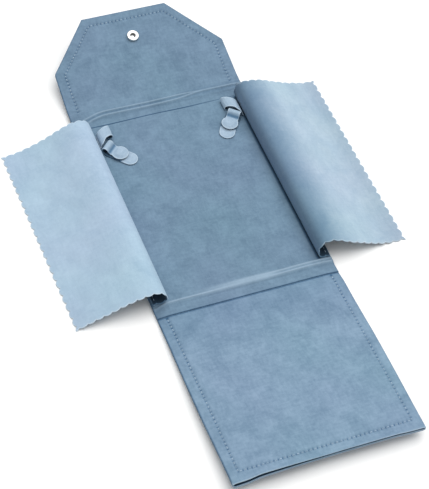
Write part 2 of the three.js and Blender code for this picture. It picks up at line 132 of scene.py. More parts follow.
def cloth_shell(name, top, under, flat, wear_and_shade, under_wear_and_shade):
    """A closed shell of cloth from two grids of points, one for each face: quads over both grids, and four
    walls that join their rims. flat gives each point's place on the cut cloth, as the UV map. The last two
    arguments give each face a tone: how far its nap is worn pale, up to 1, and how deep a painted shade lies
    on it, down to -2."""
    rows, columns = top.shape[:2]
    points = np.concatenate([top.reshape(-1, 3), under.reshape(-1, 3)])
    upper = np.arange(rows * columns).reshape(rows, columns)
    lower = upper + rows * columns
    quad = lambda a, b, c, d: np.stack([a.ravel(), b.ravel(), c.ravel(), d.ravel()], axis=1)
    faces = np.concatenate([
        quad(upper[:-1, :-1], upper[:-1, 1:], upper[1:, 1:], upper[1:, :-1]),
        quad(lower[:-1, :-1], lower[1:, :-1], lower[1:, 1:], lower[:-1, 1:]),
        quad(upper[0, :-1], lower[0, :-1], lower[0, 1:], upper[0, 1:]),
        quad(upper[-1, :-1], upper[-1, 1:], lower[-1, 1:], lower[-1, :-1]),
        quad(upper[:-1, 0], upper[1:, 0], lower[1:, 0], lower[:-1, 0]),
        quad(upper[:-1, -1], lower[:-1, -1], lower[1:, -1], upper[1:, -1]),
    ])
    a, b, c, d = (points[faces[:, k]] for k in range(4))
    if np.einsum("ij,ij->i", a, np.cross(b, c) + np.cross(c, d)).sum() < 0:
        faces = faces[:, ::-1]  # the volume came out negative, so the shell was inside out
    mesh = bpy.data.meshes.new(name)
    mesh.from_pydata(points.tolist(), [], faces.tolist())
    corner = np.empty(len(mesh.loops), dtype=np.int32)
    mesh.loops.foreach_get("vertex_index", corner)
    uv = np.concatenate([flat.reshape(-1, 2)] * 2)
    mesh.uv_layers.new(name="flat").data.foreach_set("uv", uv[corner].ravel())
    rubbed_and_painted_light = mesh.attributes.new("wear_and_shade", "FLOAT", "POINT")
    rubbed_and_painted_light.data.foreach_set("value", np.concatenate([wear_and_shade.ravel(), under_wear_and_shade.ravel()]).astype(np.float32))
    mesh.shade_smooth()
    mesh.set_sharp_from_angle(angle=sharp_corner)
    return set_down(name, mesh)


def rounded(distance):
    """How much of its half thickness cloth keeps at a distance from a raw edge: a quarter round."""
    return np.sqrt(1 - 0.94 * (1 - np.clip(distance / cut_rim, 0, 1)) ** 2)


def at_edge(distance):
    """1 at a raw edge, sinking to 0 by 0.75 mm from it."""
    return 1 - ease((distance - 0.15 * mm) / (0.6 * mm))


def edge_wear(distance):
    """How far the nap is worn pale beside a raw edge."""
    return 0.8 * at_edge(distance)


def stations(low, high, step, close=(), raw=()):
    """Places from low to high about step apart, and closer together round each fold in close and just
    inside each raw edge."""
    places = [np.linspace(low, high, 2 + int((high - low) / step))]
    for at, reach, fine in close:
        places.append(np.clip(np.arange(at - reach, at + reach, fine), low, high))
    for at in raw:
        places.append(at + rim_steps if at == low else at - rim_steps)
    places = np.unique(np.round(np.concatenate(places), 7))
    return places[np.concatenate([[True], np.diff(places) > 0.03 * mm])]


def flap_half_width(s):
    """Half the folder's width at s: full as far as the flap's shoulders, then straight in to its top."""
    share = (s - flap_crease - flap_shoulder) / (flap_end - flap_crease - flap_shoulder)
    return half_width + (flap_top_half - half_width) * np.clip(share, 0, 1)


def folder_grid(low, high, close, raw, step=3 * mm):
    """A grid of x and s over the folder between two places on its line, with each point's distance from the
    nearest raw edge. The outline is slightly uneven, as scissors leave it, and hollow at the lower end."""
    s = stations(low, high, step, close, raw)[:, None]
    across = stations(-half_width, half_width, step, raw=(-half_width, half_width))[None, :] / half_width
    half = flap_half_width(s)
    uneven = scissor_sway * drift(s, 0 * s, 60 * mm, 5) * across
    x = across * half + uneven * np.abs(across) ** 8
    slant = np.where(s > flap_crease + flap_shoulder, flap_slant, 1.0)
    rim = (1 - np.abs(across)) * half * slant
    for at in raw:
        rim = np.minimum(rim, np.abs(s - at) + 0 * x)
    if lower_end in raw:
        s = s + end_hollow * (1 - across**2) * ease((lower_end + hollow_reach - s) / hollow_reach)
    return x, s + 0 * x, rim


def folder_cloth(name, x, s, rim, middle, face_wear_and_shade=0, back_wear_and_shade=0):
    """A strip of suede on the folder whose middle layer is raised by middle above the inner face, with the
    worn pale nap and painted shade of its upper face and of its back. Its raw edges are darker, but at the
    lower end."""
    half = suede_thick / 2 * rounded(rim)
    face_wear_and_shade = face_wear_and_shade - 1.5 * at_edge(rim) * ease((s - lower_end) / (3 * mm))
    worn = [np.clip(edge_wear(rim) + wear_and_shade, -2, 1) for wear_and_shade in (face_wear_and_shade, back_wear_and_shade)]
    return cloth_shell(name, on_folder(x, s, middle + half), on_folder(x, s, middle - half),
                       np.stack([x, s], axis=-1), *worn)


def crossing(piece, crease, toward):
    """Bakes a piece's transform into its mesh; the piece isn't bent over the crease. The places on the
    folder's line just either side of the crease are found but not used. toward is 1 where the second body
    lies on the flap's side and -1 where it lies on the pocket's."""
    start, end = (on_folder(0, crease + side * toward * turn_reach, 0) for side in (-1, 1))
    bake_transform(piece)


def hexes(*colours):
    """sRGB hex colours as linear RGBA."""
    made = []
    for colour in colours:
        channels = [int(colour[k:k + 2], 16) / 255 for k in (1, 3, 5)]
        made.append([*(c / 12.92 if c <= 0.04045 else ((c + 0.055) / 1.055) ** 2.4 for c in channels), 1])
    return made


def add_node(tree, kind, links=(), **settings):
    """Adds a node, sets its properties and inputs by name or number, and links (input, node, output)."""
    node = tree.nodes.new(kind)
    for key, value in settings.items():
        if hasattr(node, key):
            setattr(node, key, value)
        else:
            node.inputs[key.replace("_", " ")].default_value = value
    for socket, source, output in links:
        tree.links.new(source.outputs[output], node.inputs[socket])
    return node


def new_finish(name, **settings):
    """A new material, its node tree, and its shader with some sockets set."""
    finish = bpy.data.materials.new(name)
    finish.use_nodes = True
    skin = finish.node_tree.nodes["Principled BSDF"]
    for key, value in settings.items():
        skin.inputs[key.replace("_", " ")].default_value = value
    return finish, finish.node_tree, skin


def suede(name, deep, pale, worn, cloud=16 * mm, nap=0.45 * mm, lean=0.0):
    """Microfibre suede, brushed: fine split fibres stand up and lie this way and that, so the cloth has
    cloudy lighter and darker patches, a soft sheen at low angles and no gloss. The patches are 10 to 40 mm
    across. The fibres are 0.02 mm, far too fine to show, so the nap is drawn 0.4 mm coarse or a little
    more. Where it all leans one way, across the cloth's width, it takes the light as if the cloth were tipped
    that way: lean is the tangent of that angle. A mesh attribute says where the nap is worn pale, above 0,
    and how deep a shade is painted in, below 0."""
    finish, tree, skin = new_finish(name, Roughness=0.96, Specular_IOR_Level=0.2, Sheen_Weight=0.25,
                                    Sheen_Roughness=0.5, Sheen_Tint=hexes("#C9DCEC")[0])
    place = add_node(tree, "ShaderNodeTexCoord")
    patches = add_node(tree, "ShaderNodeTexNoise", [("Vector", place, "UV")],
                       Scale=1 / cloud, Detail=3.0, Roughness=0.62, Distortion=0.6)
    # brushing leaves faint streaks both ways, about 1.8 mm wide and three times as long
    stretched = [add_node(tree, "ShaderNodeMapping", [("Vector", place, "UV")], Scale=scale)
                 for scale in ((1, 0.35, 1), (0.35, 1, 1))]
    weft, warp = (add_node(tree, "ShaderNodeTexNoise", [("Vector", at, "Vector")],
                           Scale=1 / (1.8 * mm), Detail=3.0, Roughness=0.65) for at in stretched)
    strokes = add_node(tree, "ShaderNodeMath", [(0, weft, 0), (1, warp, 0)], operation="ADD")
    fibres = add_node(tree, "ShaderNodeTexNoise", [("Vector", place, "UV")],
                      Scale=1 / nap, Detail=2.0, Roughness=0.7)
    cloudy = add_node(tree, "ShaderNodeMath", [(0, strokes, 0), (2, patches, 0)], operation="MULTIPLY_ADD")
    cloudy.inputs[1].default_value = 0.6
    shade = add_node(tree, "ShaderNodeMapRange", [("Value", cloudy, 0)], From_Min=0.86, From_Max=1.34)
    tone = add_node(tree, "ShaderNodeMix", [(0, shade, 0)], data_type="RGBA")
    tone.inputs[6].default_value, tone.inputs[7].default_value = hexes(deep, pale)
    grain = add_node(tree, "ShaderNodeMapRange", [("Value", fibres, 0)],
                     From_Min=0.3, From_Max=0.7, To_Min=0.93, To_Max=1.06)
    # the dye takes unevenly: over 70 mm or so the cloth turns from a violet blue to a green one
    dye = add_node(tree, "ShaderNodeTexNoise", [("Vector", place, "UV")], Scale=1 / (70 * mm), Detail=1.0)
    tinge = add_node(tree, "ShaderNodeMix", [(0, dye, 0)], data_type="RGBA")
    tinge.inputs[6].default_value = (1.06, 0.95, 1.02, 1)
    tinge.inputs[7].default_value = (0.94, 1.04, 0.98, 1)
    dyed = add_node(tree, "ShaderNodeVectorMath", [(0, tone, 2), (1, tinge, 2)], operation="MULTIPLY")
    speckled = add_node(tree, "ShaderNodeVectorMath", [(0, dyed, 0), (1, grain, 0)], operation="MULTIPLY")
    wear_and_shade = add_node(tree, "ShaderNodeAttribute", attribute_name="wear_and_shade")
    # painted shade: below 0 the colour is darkened, red the most and blue the least, to nearly black at -2
    shade_depth = add_node(tree, "ShaderNodeMapRange", [("Value", wear_and_shade, 2)], From_Min=0.0, From_Max=-2.0)
    shade_ramp = add_node(tree, "ShaderNodeValToRGB", [("Fac", shade_depth, 0)])
    shade_ramp.color_ramp.elements[0].color = (1, 1, 1, 1)
    shade_ramp.color_ramp.elements[1].color = (0.07, 0.11, 0.15, 1)
    shade_ramp.color_ramp.elements.new(0.5).color = (0.3, 0.44, 0.56, 1)
    shaded_tone = add_node(tree, "ShaderNodeVectorMath", [(0, speckled, 0), (1, shade_ramp, 0)], operation="MULTIPLY")
    rubbed_and_painted_light = add_node(tree, "ShaderNodeMix", [(0, wear_and_shade, 2), (6, shaded_tone, 0)], data_type="RGBA")
    rubbed_and_painted_light.inputs[7].default_value = hexes(worn)[0]
    tree.links.new(rubbed_and_painted_light.outputs[2], skin.inputs["Base Color"])
    face = add_node(tree, "ShaderNodeNewGeometry")
    along = add_node(tree, "ShaderNodeTangent", direction_type="UV_MAP", uv_map="flat")
    across = add_node(tree, "ShaderNodeVectorMath", [(0, face, "Normal"), (1, along, 0)],
                      operation="CROSS_PRODUCT")
    leant = add_node(tree, "ShaderNodeVectorMath", [(0, across, 0), (2, face, "Normal")],
                     operation="MULTIPLY_ADD")
    leant.inputs[1].default_value = (lean, lean, lean)
    soft = add_node(tree, "ShaderNodeBump", [("Height", strokes, 0), ("Normal", leant, 0)],
                    Strength=0.15, Distance=0.5 * mm)
    napped = add_node(tree, "ShaderNodeBump", [("Height", fibres, 0), ("Normal", soft, 0)],
                      Strength=0.35, Distance=0.2 * mm)
    tree.links.new(napped.outputs[0], skin.inputs["Normal"])
    return finish


cover_suede = suede("brushed_suede_cover", "#5C7489", "#6E879C", "#94A9BB")
cover_middle_layer = -panel_stack + suede_thick / 2


def cover_layer(rim, pinch):
    """The cover lies flat under the board and rises towards the lining at its raw edge."""
    return cover_middle_layer + pinch * (1 - ease(rim / board_inset))


def gape(x, s):
    """How far the pocket rises off the lining at the raw lower end, and how far the layers under it sag: an
    even gap, which opens towards the left and shuts again at the corners. The pocket rises less where it
    comes to lie on the two rolls. The seam closes both."""
    opening = end_gap + end_wedge * ease(-x / (60 * mm))
    opening = opening * within(x, -65.2 * mm, 65.2 * mm, 2.5 * mm, 2 * mm)
    sagging = 0.72 * ease((np.abs(x) - 44 * mm) / (12 * mm))
    loose = ease((lower_end + gape_reach - s) / gape_reach)
    return opening * (1 - sagging) * loose, opening * sagging * loose


# the strip is split where it lies flat, because a piece can bend over one crease only
middle_split, upper_split, lower_split = -60 * mm, 92.55 * mm, -88.45 * mm
crease_fold, crease_step = 3 * mm, 0.4 * mm  # how far the finer rows reach beside a crease, and their step
whole, flap_share = 1.0, 0.873  # how much of its rectangle a piece fills: the flap's corners are cut off
cover_parts = [  # name, ends, raw end, how far its sides are pinched up, area, bodies, crease, side and nodes
    ("cover_middle", middle_split, upper_split, (), 0.5 * mm, whole,
     "middle_panel", "upper_spine", upper_crease, 1, ("middle_cover",)),
    ("cover_flap", upper_split, flap_end, (flap_end,), 0.75 * mm, flap_share,
     "upper_spine", "flap", flap_crease, 1, ("upper_spine_cover", "flap_cover")),
    ("cover_lower_crease", lower_split, middle_split, (), 0.5 * mm, whole,
     "middle_panel", "lower_spine", lower_crease, -1, ("lower_spine_cover",)),
    ("cover_lower", lower_end, lower_split, (lower_end,), 0.35 * mm, whole,
     "lower_spine", "lower_panel", pocket_crease, -1, ("lower_cover",)),
]
for name, low, high, raw, pinch, share, first, second, crease, toward, nodes in cover_parts:
    x, s, rim = folder_grid(low, high, [(crease, crease_fold, crease_step)], raw)
    piece = folder_cloth(name, x, s, rim, cover_layer(rim, pinch) - gape(x, s)[1])
    piece.data.materials.append(cover_suede)
    crossing(piece, crease, toward)
    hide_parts(*nodes)

# --- Boards --------------------------------------------------------------------------------------
# Grey-brown pasteboard, die cut, one to each panel, glued between cover and lining. It keeps the
# panels flat and is seen only through a gap at the raw edges, so the nodes stay as they are.
def refinish(finish, *nodes):
    """Gives its own finish to each node of the frame that stays in view."""
    for node in nodes:
        bpy.data.objects[node].data.materials.clear()
        bpy.data.objects[node].data.materials.append(finish)


pasteboard, tree, skin = new_finish("grey_pasteboard", Roughness=0.9)
place = add_node(tree, "ShaderNodeTexCoord")
# the pulp is mottled in flecks of about 1.5 mm
pulp = add_node(tree, "ShaderNodeTexNoise", [("Vector", place, "Object")],
                Scale=1 / (1.5 * mm), Detail=4.0, Roughness=0.7)
tone = add_node(tree, "ShaderNodeMix", [(0, pulp, 0)], data_type="RGBA")
tone.inputs[6].default_value, tone.inputs[7].default_value = hexes("#9C8C72", "#C4B496")
tree.links.new(tone.outputs[2], skin.inputs["Base Color"])
refinish(pasteboard, "middle_board", "flap_board", "lower_board")

# --- Lining --------------------------------------------------------------------------------------
# The inside of the folder is lined with the same suede, nap side up. It is glued down on the boards and
# keeps soft ridges beside the creases, where it wrinkles each time the folder is closed.
flap_stitch_inset = 7 * mm
stitch_pitch = 2.9 * mm
seam_depth, seam_half, hole_half = 0.45 * mm, 1.0 * mm, 0.8 * mm  # a seam's channel, and its holes
pucker_height, pucker_away, pucker_half = 0.16 * mm, 1.9 * mm, 1.1 * mm  # beside the seam
lining_sway, lining_fall = 0.09 * mm, 0.7 * mm  # how uneven it lies, and how far it falls to its raw edge
crease_depth, band_drop = 0.75 * mm, 0.6 * mm  # the upper crease, and the sunk band beside it
first_ridge, second_ridge, ridge_height = 89.1 * mm, 92.3 * mm, 0.9 * mm  # on the upper spine
near_ridge, near_height = -80.05 * mm, 0.85 * mm  # just above the lower crease
far_ridge, far_height = -77.6 * mm, 0.75 * mm  # beside it, on the middle panel
spine_drop, spine_top, spine_bottom = 0.5 * mm, -81.4 * mm, -90.4 * mm  # the lower spine lies a little deeper
mouth = -89.9 * mm  # where the lining ends over the pocket's mouth
roll_foot, foot_half = 56.3 * mm, 0.9 * mm  # beside the wings' rolls a line of shadow is painted on the lining


def inset_corners(corners, inset):
    """The corners of a line that runs inside an open outline at a distance: each side is moved inwards by
    its inset along its own normal, and neighbouring sides are met."""
    corners = np.array(corners, float)
    heading = np.diff(corners, axis=0)
    heading /= np.linalg.norm(heading, axis=1)[:, None]
    inward = np.stack([-heading[:, 1], heading[:, 0]], axis=1)
    inset = np.broadcast_to(inset, len(heading))
    start = corners[:-1] + inward * inset[:, None]
    inner = [start[0]]
    for k in range(1, len(heading)):
        sides = np.stack([heading[k - 1], -heading[k]], axis=1)
        reach = np.linalg.solve(sides, start[k] - start[k - 1])
        inner.append(start[k - 1] + heading[k - 1] * reach[0])
    inner.append(corners[-1] + inward[-1] * inset[-1])
    return np.array(inner)


def from_line(x, s, corners):
    """Each point's distance from a line with corners, and how far along the line its nearest place is."""
    distance, along, run = np.full(x.shape, np.inf), np.zeros(x.shape), 0.0
    for (ax, ay), (bx, by) in zip(corners[:-1], corners[1:]):
        length = math.hypot(bx - ax, by - ay)
        share = np.clip(((x - ax) * (bx - ax) + (s - ay) * (by - ay)) / length**2, 0, 1)
        gap = np.hypot(x - ax - share * (bx - ax), s - ay - share * (by - ay))
        nearer = gap < distance
        along = np.where(nearer, run + share * length, along)
        distance = np.where(nearer, gap, distance)
        run += length
    return distance, along


def sewn(x, s, corners):
    """How far a seam pulls the cloth down, and how much shade is painted into its needle holes: a channel of
    bell-curve section, which sinks further at each hole, and beside it puckers that swell between one hole
    and the next and fade out over 3 mm."""
    distance, along = from_line(x, s, corners)
    at_hole = np.cos(2 * math.pi * along / stitch_pitch)
    channel = seam_depth * bump(distance, seam_half) * (1 + 0.5 * at_hole)
    puckers = pucker_height * bump(distance - pucker_away, pucker_half) * at_hole
    return channel + puckers, bump(distance, hole_half) * np.clip(at_hole, 0, 1) ** 2


seam_start = 95.6 * mm
flap_seam = inset_corners([
    (half_width, seam_start), (half_width, flap_crease + flap_shoulder),
    (flap_top_half, flap_end), (-flap_top_half, flap_end),
    (-half_width, flap_crease + flap_shoulder), (-half_width, seam_start),
], flap_stitch_inset)


def lower_ridge(x, s):
    """The ridge beside the lower crease: its height, and how much paler it is made, partly worn and partly a
    painted highlight. It is one narrow bell curve at the left, where it bends down at its end, widens to a
    low swell, and parts in two towards the right."""
    left, right = ease((-x + 8 * mm) / (50 * mm)), ease((x - 12 * mm) / (18 * mm))
    sway = 0.3 * mm * drift(x, 0 * x, 55 * mm, 21) - 2.2 * mm * ease((-x - 53 * mm) / (11 * mm))
    near = bump(s - near_ridge - sway, (1.5 - 0.65 * left - 0.6 * right) * mm)
    far = (1 - 0.93 * left) * bump(s - far_ridge - sway, (1.5 - 0.6 * right) * mm)
    return near_height * near + far_height * far, np.clip(near + far, 0, 1)


def band_ridges(x, s):
    """The two ridges of the upper spine, narrow bell curves that bend down at their left ends and run into
    one towards the right: their height, and a tone. Their tops are paler, partly worn and partly a painted
    highlight, and a painted shade lies between and beside them."""
    dip = 6 * mm * ease((-x - 40 * mm) / (28 * mm)) + 0.25 * mm * drift(x, 0 * x, 42 * mm, 8)
    joined = ease((x - 12 * mm) / (24 * mm))
    from_first = s - first_ridge - 2.2 * mm * joined + dip
    from_second = s - second_ridge + 0.9 * mm * joined + dip
    ridges = np.maximum(bump(from_first, 0.85 * mm), bump(from_second, 0.85 * mm))
    return ridges, ridges - 0.5 * bump((from_first + from_second) / 2, 2.8 * mm)


def pressed_line(x, s):
    """The upper crease, folded to a sharp line that sways by half a millimetre."""
    return bump(s - upper_crease - 0.5 * mm * drift(x, 0 * x, 50 * mm, 3), 0.5 * mm)


def lining_lift(x, s, rim):
    """Height of the lining's face above the panels' inner face. It falls to the raw edge, is pulled down
    by the flap's seam, sinks over the upper spine, and swells in ridges beside the creases."""
    lift = lining_sway * drift(x, s, 34 * mm, 11) * ease(rim / (5 * mm))
    lift = lift - lining_fall * (1 - ease(rim / board_inset))
    lift = lift - sewn(x, s, flap_seam)[0] * ease((s - seam_start + mm) / (2 * mm))
    # the upper spine: a sharp crease, a sunk band, then two ridges
    lift = lift - crease_depth * pressed_line(x, s)
    lift = lift - band_drop * within(s, upper_crease, 88 * mm, 1.2 * mm, 2 * mm)
    lift = lift + ridge_height * band_ridges(x, s)[0] + lower_ridge(x, s)[0]
    return lift - spine_drop * within(s, spine_bottom, spine_top, 3.5 * mm, 1.5 * mm)


lining_suede = suede("brushed_suede_lining", "#60798E", "#728CA1", "#A0B6C8")
plain_step, sewn_step = 2.2 * mm, 0.75 * mm  # the rows lie closer where a seam has to show
lining_parts = [  # name, ends, finer rows, raw end, step of the rows, area, bodies, crease, side and nodes
    ("lining_middle", middle_split, upper_split,
     [(upper_crease, crease_fold, 0.25 * mm), (90 * mm, 3.4 * mm, 0.3 * mm)], (), plain_step, whole,
     "middle_panel", "upper_spine", upper_crease, 1, ("middle_lining", "upper_spine_lining")),
    ("lining_flap", upper_split, flap_end,
     [(95 * mm, 3.4 * mm, 0.3 * mm), (flap_crease, crease_fold, crease_step)], (flap_end,), sewn_step,
     flap_share, "upper_spine", "flap", flap_crease, 1, ("flap_lining",)),
    ("lining_lower_crease", mouth, middle_split,
     [(-79.5 * mm, 4.5 * mm, 0.25 * mm)], (mouth,), plain_step, whole,
     "middle_panel", "lower_spine", lower_crease, -1, ("middle_crease_ridge", "lower_spine_lining")),
]
for name, low, high, close, raw, step, share, first, second, crease, toward, nodes in lining_parts:
    x, s, rim = folder_grid(low, high, close, raw, step)
    # the lining's end over the pocket's mouth is raw as well, but doesn't fall
    pinch_rim = rim if name != "lining_lower_crease" else (half_width - np.abs(x))
    middle = lining_lift(x, s, pinch_rim) - suede_thick / 2
    # the ridge tops are made paler, partly worn and partly a painted highlight, with painted shade between
    # the two upper ridges
    rubbed_and_painted_light = 0.6 * band_ridges(x, s)[1]
    rubbed_and_painted_light = rubbed_and_painted_light + 0.55 * lower_ridge(x, s)[1] * (1 - 0.6 * ease((-x - 50 * mm) / (12 * mm)))
    # painted shade in the flap seam's needle holes
    holes = 1.3 * sewn(x, s, flap_seam)[1]
    # painted shade along the upper crease, and a line of painted shade at the lining's edge over the pocket's
    # mouth
    crease_and_mouth_shade = pressed_line(x, s) * (1.3 - 0.9 * ease(x / (50 * mm))) + 0.35 * bump(s - mouth, 0.6 * mm)
    # painted shadow along the foot of each wing's roll
    foot_shadow = 1.7 * bump(np.abs(x) - roll_foot, foot_half) * within(s, -77 * mm, 81 * mm, mm, mm)
    piece = folder_cloth(name, x, s, rim, middle, rubbed_and_painted_light - holes - crease_and_mouth_shade - foot_shadow)
    piece.data.materials.append(lining_suede)
    crossing(piece, crease, toward)
    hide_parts(*nodes)

# --- Slip pocket ---------------------------------------------------------------------------------
# A second layer of suede covers the whole lower panel. It is sewn to lining and cover on three sides, and
# its mouth runs across the folder under the lining's edge. The raw edges outside the seam stand apart.
lower_side_inset, lower_end_inset, pocket_seam_start = 6.5 * mm, 7.6 * mm, -91.6 * mm
pocket_top, under_top = -87.4 * mm, -98.5 * mm  # where the pocket and the lining under it end
tuck, rise, pocket_fall = 0.75 * mm, 1.35 * mm, 0.9 * mm  # under the lining, onto the panel, to its raw edge
pocket_sway = 0.13 * mm  # how uneven the pocket lies
under_fall = 1.15 * mm  # how far the lining under it falls to its raw edge
layer_gap = 0.05 * mm  # the least that two layers of cloth lie apart
pocket_seam = inset_corners([
    (-half_width, pocket_seam_start), (-half_width, lower_end),
    (half_width, lower_end), (half_width, pocket_seam_start),
], [lower_side_inset, lower_end_inset, lower_side_inset])


def pocket_lift(x, s, rim):
    """Height of the pocket's face: from under the lining's edge it rises onto the panel, where it lies
    softly over the board, is drawn down by its seam and gapes at the raw end."""
    lift = -tuck + rise * ease((-88 * mm - s) / (12 * mm))
    lift = lift + pocket_sway * drift(x, s, 40 * mm, 17) * ease((mouth - s) / (9 * mm))
    lift = lift - pocket_fall * (1 - ease(rim / board_inset)) - sewn(x, s, pocket_seam)[0]
    return lift + gape(x, s)[0]


def covered_shade(rim):
    """Painted shade on a face that lies covered, deep all over but easing off over its last 0.8 mm to a raw
    edge.
    """
    return -2 * ease(rim / (0.8 * mm))


pocket_folds = [(mouth, 1.6 * mm, 0.3 * mm), (pocket_crease, crease_fold, crease_step)]
x, s, rim = folder_grid(lower_end, pocket_top, pocket_folds, (lower_end,), sewn_step)
# painted shadow under the lining's edge at the mouth, and the pocket darker over the 45 mm below it; painted
# shade in the seam's needle holes, and on the pocket's covered back
mouth_shadow_and_gradient = 0.7 * bump(s - spine_bottom, 0.5 * mm) + 0.28 * (1 - ease((-92 * mm - s) / (45 * mm)))
pocket_front = folder_cloth("pocket_front", x, s, rim, pocket_lift(x, s, rim) - suede_thick / 2,
                            -mouth_shadow_and_gradient - 1.3 * sewn(x, s, pocket_seam)[1], covered_shade(rim))
pocket_suede = suede("brushed_suede_pocket", "#6B869C", "#829CB1", "#A6BBCC")
pocket_front.data.materials.append(pocket_suede)
crossing(pocket_front, pocket_crease, -1)
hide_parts("pocket_sheet", "pocket_mouth_hem")

x, s, rim = folder_grid(lower_end, under_top, (), (lower_end, under_top))
lifted, sagged = gape(x, s)
under_layer = np.minimum(-suede_thick / 2 - under_fall * (1 - ease(rim / board_inset)),
                         pocket_lift(x, s, rim) - lifted - 1.5 * suede_thick - layer_gap)
# painted shade on the lining's face under the pocket, seen through the gap at the raw end
lining_lower = folder_cloth("lining_lower", x, s, rim, under_layer - sagged, covered_shade(rim))
lining_lower.data.materials.append(lining_suede)
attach(lining_lower, "lower_panel")
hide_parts("lower_lining")

# --- Seams ---------------------------------------------------------------------------------------
# Lockstitch in polyester thread, a shade lighter than the suede: each stitch dips into a hole at both
# ends. One row runs round the flap, one round the pocket, and one down each wing's root.
stitch_length, thread_half = 2.35 * mm, 0.24 * mm
stitch_arch, stitch_sink = 0.34 * mm, 0.16 * mm  # how high a stitch stands, and how deep its ends lie
rings, sides = 7, 6  # of one stitch's tube


def run_along(corners):
    """How far along a line each of its corners lies."""
    return np.concatenate([[0], np.cumsum(np.linalg.norm(np.diff(corners, axis=0), axis=1))])


def on_line(at, run, corners):
    """The places on a line at given distances along it."""
    return np.stack([np.interp(at, run, corners[:, k]) for k in (0, 1)], axis=1)


def stitches(name, corners, height, node):
    """A row of stitches along a line with corners on the folder. One stitch is a tube of six sides whose
    middle line is half a wave high, thin at its two ends. The row is that stitch set down at every pitch."""
    corners = np.array(corners, float)
    run = run_along(corners)
    middles = np.arange(stitch_pitch / 2, run[-1], stitch_pitch)
    ends = [on_line(middles + side * stitch_length / 2, run, corners) for side in (-1, 1)]
    share = np.linspace(0, 1, rings)[None, :, None]
    track = ends[0][:, None, :] * (1 - share) + ends[1][:, None, :] * share
    heading = (ends[1] - ends[0]) / np.linalg.norm(ends[1] - ends[0], axis=1)[:, None]
    sideways = np.stack([-heading[:, 1], heading[:, 0]], axis=1)[:, None, None, :]
    arch = np.sin(math.pi * share[..., 0])
    half = thread_half * (0.35 + 0.65 * arch) + 0 * track[..., 0]
    round_turn = np.linspace(0, 2 * math.pi, sides + 1)[:-1]
    across = (half[..., None] * np.cos(round_turn))[..., None] * sideways
    flat = track[:, :, None, :] + across
    lift = height(track[..., 0], track[..., 1]) + arch * stitch_arch - stitch_sink
    lift = lift[..., None] + half[..., None] * np.sin(round_turn) * 0.8
    points = on_folder(flat[..., 0], flat[..., 1], lift).reshape(-1, 3)
    first = (np.arange(len(middles))[:, None, None] * rings + np.arange(rings - 1)[None, :, None]) * sides
    here = first + np.arange(sides)
    beside = first + (np.arange(sides) + 1) % sides
    walls = np.stack([here, here + sides, beside + sides, beside], axis=-1).reshape(-1, 4)
    caps = [[base + k for k in order] for base in range(0, len(points), rings * sides)
            for order in (range(sides), range(rings * sides - 1, (rings - 1) * sides - 1, -1))]
    mesh = bpy.data.meshes.new(name)
    mesh.from_pydata(points.tolist(), [], walls.tolist() + caps)
    mesh.shade_smooth()
    mesh.materials.append(thread)
    row = set_down(name, mesh)
    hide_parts(node)
    return row


thread, tree, skin = new_finish("polyester_sewing_thread", Roughness=0.6, Sheen_Weight=0.2)
place = add_node(tree, "ShaderNodeTexCoord")
# two plies twisted together show as slanting lines about 0.3 mm apart
plies = add_node(tree, "ShaderNodeTexWave", [("Vector", place, "Object")], bands_direction="DIAGONAL",
                 Scale=0.5 / (0.3 * mm) / 10, Distortion=0.5)
tone = add_node(tree, "ShaderNodeMix", [(0, plies, 1)], data_type="RGBA")
tone.inputs[6].default_value, tone.inputs[7].default_value = hexes("#7E97AC", "#A9BECF")
tree.links.new(tone.outputs[2], skin.inputs["Base Color"])


def flap_face(x, s):
    """The lining's height where the flap's seam runs."""
    return lining_lift(x, s, np.full(np.shape(x), flap_stitch_inset))


def pocket_face(x, s):
    """The pocket's height where its seam runs."""
    side = half_width - np.abs(x)
    return pocket_lift(x, s, np.minimum(side, s - lower_end))


crossing(stitches("flap_stitches", flap_seam, flap_face, "flap_seam_thread"),
         flap_crease, 1)
crossing(stitches("pocket_stitches", pocket_seam, pocket_face, "pocket_seam_thread"),
         pocket_crease, -1)

# --- Press stud ----------------------------------------------------------------------------------
# Nickel-plated brass, pressed and turned: a socket ring with a spring inside the flap, its cap outside,
# and the stud that it snaps onto, riveted through the outside of the lower panel.
nickel, tree, skin = new_finish("nickel_plated_brass", Metallic=1.0, Base_Color=hexes("#DDDCD8")[0])
place = add_node(tree, "ShaderNodeTexCoord")
# tumbling leaves fine marks, which scatter the gloss a little. They are drawn 0.5 mm coarse to show
marks = add_node(tree, "ShaderNodeTexNoise", [("Vector", place, "Object")], Scale=1 / (0.5 * mm), Detail=4.0)
gloss = add_node(tree, "ShaderNodeMapRange", [("Value", marks, 0)], To_Min=0.16, To_Max=0.34)
tree.links.new(gloss.outputs[0], skin.inputs["Roughness"])
refinish(nickel, "flap_snap_cap", "flap_snap_socket", "closing_stud", "closing_stud_rivet",
         "left_keeper_stud", "right_keeper_stud", "left_keeper_socket", "right_keeper_socket")

# the two spring wires are blued steel, which shows dark inside the bright ring
spring_steel = nickel.copy()
spring_steel.name = "blued_spring_steel"
spring_steel.node_tree.nodes["Principled BSDF"].inputs["Base Color"].default_value = hexes("#4B4A4C")[0]
refinish(spring_steel, "flap_snap_spring_left", "flap_snap_spring_right")

